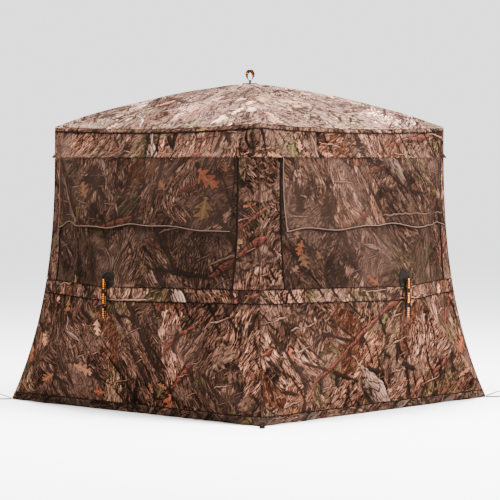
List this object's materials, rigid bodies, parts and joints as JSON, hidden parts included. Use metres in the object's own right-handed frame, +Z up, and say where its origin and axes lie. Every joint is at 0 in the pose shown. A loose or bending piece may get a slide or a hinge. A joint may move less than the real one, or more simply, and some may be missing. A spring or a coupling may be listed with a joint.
{
  "type": "pop up ground blind",
  "caption": "Square hub-style pop up ground blind: camouflage cloth walls and roof held out by bowed poles, mesh windows with flaps, a zip door, pull straps and stake loops.",
  "frame": {"origin": "on the ground, at the middle of the blind's footprint", "axes": "+Z up, +Y from the front wall towards the back wall with the door, +X to the right wall"},
  "size_m": [2.1876, 2.1876, 1.773],
  "materials": {
    "camo_cloth": "matte",
    "roof_cloth": "matte",
    "camo_mesh": "matte",
    "webbing": "matte",
    "fibreglass_rod": "satin",
    "hub_plastic": "satin",
    "zip_tape": "matte"
  },
  "bodies": {
    "shell": {"base_hem": "camo_cloth", "eave_band": "camo_cloth", "roof_canopy": "roof_cloth", "lower_wall_front": "camo_cloth", "window_mesh_front": "camo_mesh", "lower_wall_right": "camo_cloth", "window_mesh_right": "camo_mesh", "lower_wall_back": "camo_cloth", "upper_wall_back": "camo_cloth", "lower_wall_left": "camo_cloth", "window_mesh_left": "camo_mesh", "corner_strip_front_right": "camo_cloth", "corner_strip_back_right": "camo_cloth", "corner_strip_back_left": "camo_cloth", "corner_strip_front_left": "camo_cloth"},
    "hub_front": {"hub_front": "hub_plastic", "hub_cap_front": "hub_plastic"},
    "rod_front_upper_left": {"rod_front_upper_left": "fibreglass_rod"},
    "rod_front_upper_right": {"rod_front_upper_right": "fibreglass_rod"},
    "rod_front_lower_left": {"rod_front_lower_left": "fibreglass_rod"},
    "rod_front_lower_right": {"rod_front_lower_right": "fibreglass_rod"},
    "pull_strap_front": {"pull_strap_front": "webbing"},
    "hub_right": {"hub_right": "hub_plastic", "hub_cap_right": "hub_plastic"},
    "rod_right_upper_left": {"rod_right_upper_left": "fibreglass_rod"},
    "rod_right_upper_right": {"rod_right_upper_right": "fibreglass_rod"},
    "rod_right_lower_left": {"rod_right_lower_left": "fibreglass_rod"},
    "rod_right_lower_right": {"rod_right_lower_right": "fibreglass_rod"},
    "pull_strap_right": {"pull_strap_right": "webbing"},
    "hub_back": {"hub_back": "hub_plastic", "hub_cap_back": "hub_plastic"},
    "rod_back_upper_left": {"rod_back_upper_left": "fibreglass_rod"},
    "rod_back_upper_right": {"rod_back_upper_right": "fibreglass_rod"},
    "rod_back_lower_left": {"rod_back_lower_left": "fibreglass_rod"},
    "rod_back_lower_right": {"rod_back_lower_right": "fibreglass_rod"},
    "pull_strap_back": {"pull_strap_back": "webbing"},
    "hub_left": {"hub_left": "hub_plastic", "hub_cap_left": "hub_plastic"},
    "rod_left_upper_left": {"rod_left_upper_left": "fibreglass_rod"},
    "rod_left_upper_right": {"rod_left_upper_right": "fibreglass_rod"},
    "rod_left_lower_left": {"rod_left_lower_left": "fibreglass_rod"},
    "rod_left_lower_right": {"rod_left_lower_right": "fibreglass_rod"},
    "pull_strap_left": {"pull_strap_left": "webbing"},
    "hub_roof": {"hub_roof": "hub_plastic", "hub_cap_roof": "hub_plastic"},
    "rod_roof_front_right": {"rod_roof_front_right": "fibreglass_rod"},
    "rod_roof_back_right": {"rod_roof_back_right": "fibreglass_rod"},
    "rod_roof_back_left": {"rod_roof_back_left": "fibreglass_rod"},
    "rod_roof_front_left": {"rod_roof_front_left": "fibreglass_rod"},
    "pull_strap_roof": {"pull_strap_roof": "webbing"},
    "window_flap_front": {"window_flap_front": "camo_cloth"},
    "window_flap_right": {"window_flap_right": "camo_cloth"},
    "window_flap_left": {"window_flap_left": "camo_cloth"},
    "door_frame": {"door_zip_tape": "zip_tape"},
    "door": {"door_panel": "camo_cloth"},
    "zip_slider": {"door_zip_slider": "hub_plastic"},
    "stake_loop_front_right": {"stake_loop_front_right": "webbing"},
    "stake_loop_back_right": {"stake_loop_back_right": "webbing"},
    "stake_loop_back_left": {"stake_loop_back_left": "webbing"},
    "stake_loop_front_left": {"stake_loop_front_left": "webbing"}
  },
  "joints": [
    {"name": "front_hub_pop", "type": "slide", "parent": "shell", "child": "hub_front", "axis": [0, 0.9935, -0.1134], "range_m": [0, 0.4682], "deforming": ["lower_wall_front", "window_mesh_front"]},
    {"name": "rod_front_upper_left_swing", "type": "hinge", "parent": "shell", "child": "rod_front_upper_left", "pos_m": [-0.698, -0.72397, 1.42718], "axis": [0.7454, 0.0756, 0.6623], "range_deg": [0, 26.35]},
    {"name": "rod_front_upper_right_swing", "type": "hinge", "parent": "shell", "child": "rod_front_upper_right", "pos_m": [0.698, -0.72397, 1.42718], "axis": [0.7454, -0.0756, -0.6623], "range_deg": [0, 26.35]},
    {"name": "rod_front_lower_left_swing", "type": "hinge", "parent": "shell", "child": "rod_front_lower_left", "pos_m": [-0.855, -0.88258, 0.0377], "axis": [-0.5858, 0.0919, 0.8052], "range_deg": [0, 26.15]},
    {"name": "rod_front_lower_right_swing", "type": "hinge", "parent": "shell", "child": "rod_front_lower_right", "pos_m": [0.855, -0.88258, 0.0377], "axis": [-0.5858, -0.0919, -0.8052], "range_deg": [0, 26.15]},
    {"name": "front_strap_swing", "type": "hinge", "parent": "hub_front", "child": "pull_strap_front", "pos_m": [0, -1.08484, 0.68283], "axis": [-1, 0, 0], "range_deg": [0, 27.1]},
    {"name": "right_hub_pop", "type": "slide", "parent": "shell", "child": "hub_right", "axis": [-0.9935, 0, -0.1134], "range_m": [0, 0.4682], "deforming": ["lower_wall_right", "window_mesh_right"]},
    {"name": "rod_right_upper_left_swing", "type": "hinge", "parent": "shell", "child": "rod_right_upper_left", "pos_m": [0.72397, -0.698, 1.42718], "axis": [-0.0756, 0.7454, 0.6623], "range_deg": [0, 26.35]},
    {"name": "rod_right_upper_right_swing", "type": "hinge", "parent": "shell", "child": "rod_right_upper_right", "pos_m": [0.72397, 0.698, 1.42718], "axis": [0.0756, 0.7454, -0.6623], "range_deg": [0, 26.35]},
    {"name": "rod_right_lower_left_swing", "type": "hinge", "parent": "shell", "child": "rod_right_lower_left", "pos_m": [0.88258, -0.855, 0.0377], "axis": [-0.0919, -0.5858, 0.8052], "range_deg": [0, 26.15]},
    {"name": "rod_right_lower_right_swing", "type": "hinge", "parent": "shell", "child": "rod_right_lower_right", "pos_m": [0.88258, 0.855, 0.0377], "axis": [0.0919, -0.5858, -0.8052], "range_deg": [0, 26.15]},
    {"name": "right_strap_swing", "type": "hinge", "parent": "hub_right", "child": "pull_strap_right", "pos_m": [1.08484, 0, 0.68283], "axis": [0, -1, 0], "range_deg": [0, 27.1]},
    {"name": "back_hub_pop", "type": "slide", "parent": "shell", "child": "hub_back", "axis": [0, -0.9935, -0.1134], "range_m": [0, 0.4682], "deforming": ["lower_wall_back", "upper_wall_back"]},
    {"name": "rod_back_upper_left_swing", "type": "hinge", "parent": "shell", "child": "rod_back_upper_left", "pos_m": [0.698, 0.72397, 1.42718], "axis": [-0.7454, -0.0756, 0.6623], "range_deg": [0, 26.35]},
    {"name": "rod_back_upper_right_swing", "type": "hinge", "parent": "shell", "child": "rod_back_upper_right", "pos_m": [-0.698, 0.72397, 1.42718], "axis": [-0.7454, 0.0756, -0.6623], "range_deg": [0, 26.35]},
    {"name": "rod_back_lower_left_swing", "type": "hinge", "parent": "shell", "child": "rod_back_lower_left", "pos_m": [0.855, 0.88258, 0.0377], "axis": [0.5858, -0.0919, 0.8052], "range_deg": [0, 26.15]},
    {"name": "rod_back_lower_right_swing", "type": "hinge", "parent": "shell", "child": "rod_back_lower_right", "pos_m": [-0.855, 0.88258, 0.0377], "axis": [0.5858, 0.0919, -0.8052], "range_deg": [0, 26.15]},
    {"name": "back_strap_swing", "type": "hinge", "parent": "hub_back", "child": "pull_strap_back", "pos_m": [0, 1.08484, 0.68283], "axis": [1, 0, 0], "range_deg": [0, 27.1]},
    {"name": "left_hub_pop", "type": "slide", "parent": "shell", "child": "hub_left", "axis": [0.9935, 0, -0.1134], "range_m": [0, 0.4682], "deforming": ["lower_wall_left", "window_mesh_left"]},
    {"name": "rod_left_upper_left_swing", "type": "hinge", "parent": "shell", "child": "rod_left_upper_left", "pos_m": [-0.72397, 0.698, 1.42718], "axis": [0.0756, -0.7454, 0.6623], "range_deg": [0, 26.35]},
    {"name": "rod_left_upper_right_swing", "type": "hinge", "parent": "shell", "child": "rod_left_upper_right", "pos_m": [-0.72397, -0.698, 1.42718], "axis": [-0.0756, -0.7454, -0.6623], "range_deg": [0, 26.35]},
    {"name": "rod_left_lower_left_swing", "type": "hinge", "parent": "shell", "child": "rod_left_lower_left", "pos_m": [-0.88258, 0.855, 0.0377], "axis": [0.0919, 0.5858, 0.8052], "range_deg": [0, 26.15]},
    {"name": "rod_left_lower_right_swing", "type": "hinge", "parent": "shell", "child": "rod_left_lower_right", "pos_m": [-0.88258, -0.855, 0.0377], "axis": [-0.0919, 0.5858, -0.8052], "range_deg": [0, 26.15]},
    {"name": "left_strap_swing", "type": "hinge", "parent": "hub_left", "child": "pull_strap_left", "pos_m": [-1.08484, 0, 0.68283], "axis": [0, 1, 0], "range_deg": [0, 27.1]},
    {"name": "roof_hub_pop", "type": "slide", "parent": "shell", "child": "hub_roof", "axis": [0, 0, -1], "range_m": [0, 0.452], "deforming": ["roof_canopy"]},
    {"name": "rod_roof_front_right_swing", "type": "hinge", "parent": "shell", "child": "rod_roof_front_right", "pos_m": [0.702, -0.702, 1.447], "axis": [-0.7071, -0.7071, 0], "range_deg": [0, 26.87]},
    {"name": "rod_roof_back_right_swing", "type": "hinge", "parent": "shell", "child": "rod_roof_back_right", "pos_m": [0.702, 0.702, 1.447], "axis": [0.7071, -0.7071, 0], "range_deg": [0, 26.87]},
    {"name": "rod_roof_back_left_swing", "type": "hinge", "parent": "shell", "child": "rod_roof_back_left", "pos_m": [-0.702, 0.702, 1.447], "axis": [0.7071, 0.7071, 0], "range_deg": [0, 26.87]},
    {"name": "rod_roof_front_left_swing", "type": "hinge", "parent": "shell", "child": "rod_roof_front_left", "pos_m": [-0.702, -0.702, 1.447], "axis": [-0.7071, 0.7071, 0], "range_deg": [0, 26.87]},
    {"name": "roof_strap_swing", "type": "hinge", "parent": "hub_roof", "child": "pull_strap_roof", "pos_m": [0, 0, 1.713], "axis": [0.7071, -0.7071, 0], "range_deg": [-70, 70]},
    {"name": "front_flap_lift", "type": "hinge", "parent": "shell", "child": "window_flap_front", "pos_m": [0, -0.81601, 1.304], "axis": [-1, 0, 0], "range_deg": [0, 110]},
    {"name": "right_flap_lift", "type": "hinge", "parent": "shell", "child": "window_flap_right", "pos_m": [0.81601, 0, 1.304], "axis": [0, -1, 0], "range_deg": [0, 110]},
    {"name": "left_flap_lift", "type": "hinge", "parent": "shell", "child": "window_flap_left", "pos_m": [-0.81601, 0, 1.304], "axis": [0, 1, 0], "range_deg": [0, 110]},
    {"name": "door_frame_swing", "type": "hinge", "parent": "shell", "child": "door_frame", "pos_m": [-0.7, 0.82128, 0.68], "axis": [0, 0.1552, -0.9879], "range_deg": [0, 40.03]},
    {"name": "door_swing", "type": "hinge", "parent": "door_frame", "child": "door", "pos_m": [-0.7, 0.82128, 0.68], "axis": [0, -0.1552, 0.9879], "range_deg": [0, 100]},
    {"name": "zip_slide", "type": "slide", "parent": "door_frame", "child": "zip_slider", "axis": [0.7964, 0.1567, 0.5841], "range_m": [0, 0.45]},
    {"name": "front_right_stake_loop_swing", "type": "hinge", "parent": "shell", "child": "stake_loop_front_right", "pos_m": [0.91204, -0.91204, 0.0044], "axis": [-0.7071, -0.7071, 0], "range_deg": [0, 80]},
    {"name": "back_right_stake_loop_swing", "type": "hinge", "parent": "shell", "child": "stake_loop_back_right", "pos_m": [0.91204, 0.91204, 0.0044], "axis": [0.7071, -0.7071, 0], "range_deg": [0, 80]},
    {"name": "back_left_stake_loop_swing", "type": "hinge", "parent": "shell", "child": "stake_loop_back_left", "pos_m": [-0.91204, 0.91204, 0.0044], "axis": [0.7071, 0.7071, 0], "range_deg": [0, 80]},
    {"name": "front_left_stake_loop_swing", "type": "hinge", "parent": "shell", "child": "stake_loop_front_left", "pos_m": [-0.91204, -0.91204, 0.0044], "axis": [-0.7071, 0.7071, 0], "range_deg": [0, 80]}
  ],
  "couplings": [
    {"joint": "rod_front_upper_left_swing", "follows": "front_hub_pop", "rad_per_m": 0.98036},
    {"joint": "rod_front_upper_right_swing", "follows": "front_hub_pop", "rad_per_m": 0.98036},
    {"joint": "rod_front_lower_left_swing", "follows": "front_hub_pop", "rad_per_m": 0.97293},
    {"joint": "rod_front_lower_right_swing", "follows": "front_hub_pop", "rad_per_m": 0.97293},
    {"joint": "front_strap_swing", "follows": "front_hub_pop", "rad_per_m": 1.0064},
    {"joint": "rod_right_upper_left_swing", "follows": "right_hub_pop", "rad_per_m": 0.98036},
    {"joint": "rod_right_upper_right_swing", "follows": "right_hub_pop", "rad_per_m": 0.98036},
    {"joint": "rod_right_lower_left_swing", "follows": "right_hub_pop", "rad_per_m": 0.97293},
    {"joint": "rod_right_lower_right_swing", "follows": "right_hub_pop", "rad_per_m": 0.97293},
    {"joint": "right_strap_swing", "follows": "right_hub_pop", "rad_per_m": 1.0064},
    {"joint": "rod_back_upper_left_swing", "follows": "back_hub_pop", "rad_per_m": 0.98036},
    {"joint": "rod_back_upper_right_swing", "follows": "back_hub_pop", "rad_per_m": 0.98036},
    {"joint": "rod_back_lower_left_swing", "follows": "back_hub_pop", "rad_per_m": 0.97293},
    {"joint": "rod_back_lower_right_swing", "follows": "back_hub_pop", "rad_per_m": 0.97293},
    {"joint": "back_strap_swing", "follows": "back_hub_pop", "rad_per_m": 1.0064},
    {"joint": "rod_left_upper_left_swing", "follows": "left_hub_pop", "rad_per_m": 0.98036},
    {"joint": "rod_left_upper_right_swing", "follows": "left_hub_pop", "rad_per_m": 0.98036},
    {"joint": "rod_left_lower_left_swing", "follows": "left_hub_pop", "rad_per_m": 0.97293},
    {"joint": "rod_left_lower_right_swing", "follows": "left_hub_pop", "rad_per_m": 0.97293},
    {"joint": "left_strap_swing", "follows": "left_hub_pop", "rad_per_m": 1.0064},
    {"joint": "rod_roof_front_right_swing", "follows": "roof_hub_pop", "rad_per_m": 1.0358},
    {"joint": "rod_roof_back_right_swing", "follows": "roof_hub_pop", "rad_per_m": 1.0358},
    {"joint": "rod_roof_back_left_swing", "follows": "roof_hub_pop", "rad_per_m": 1.0358},
    {"joint": "rod_roof_front_left_swing", "follows": "roof_hub_pop", "rad_per_m": 1.0358},
    {"joint": "door_frame_swing", "follows": "back_hub_pop", "rad_per_m": 1.4901}
  ]
}
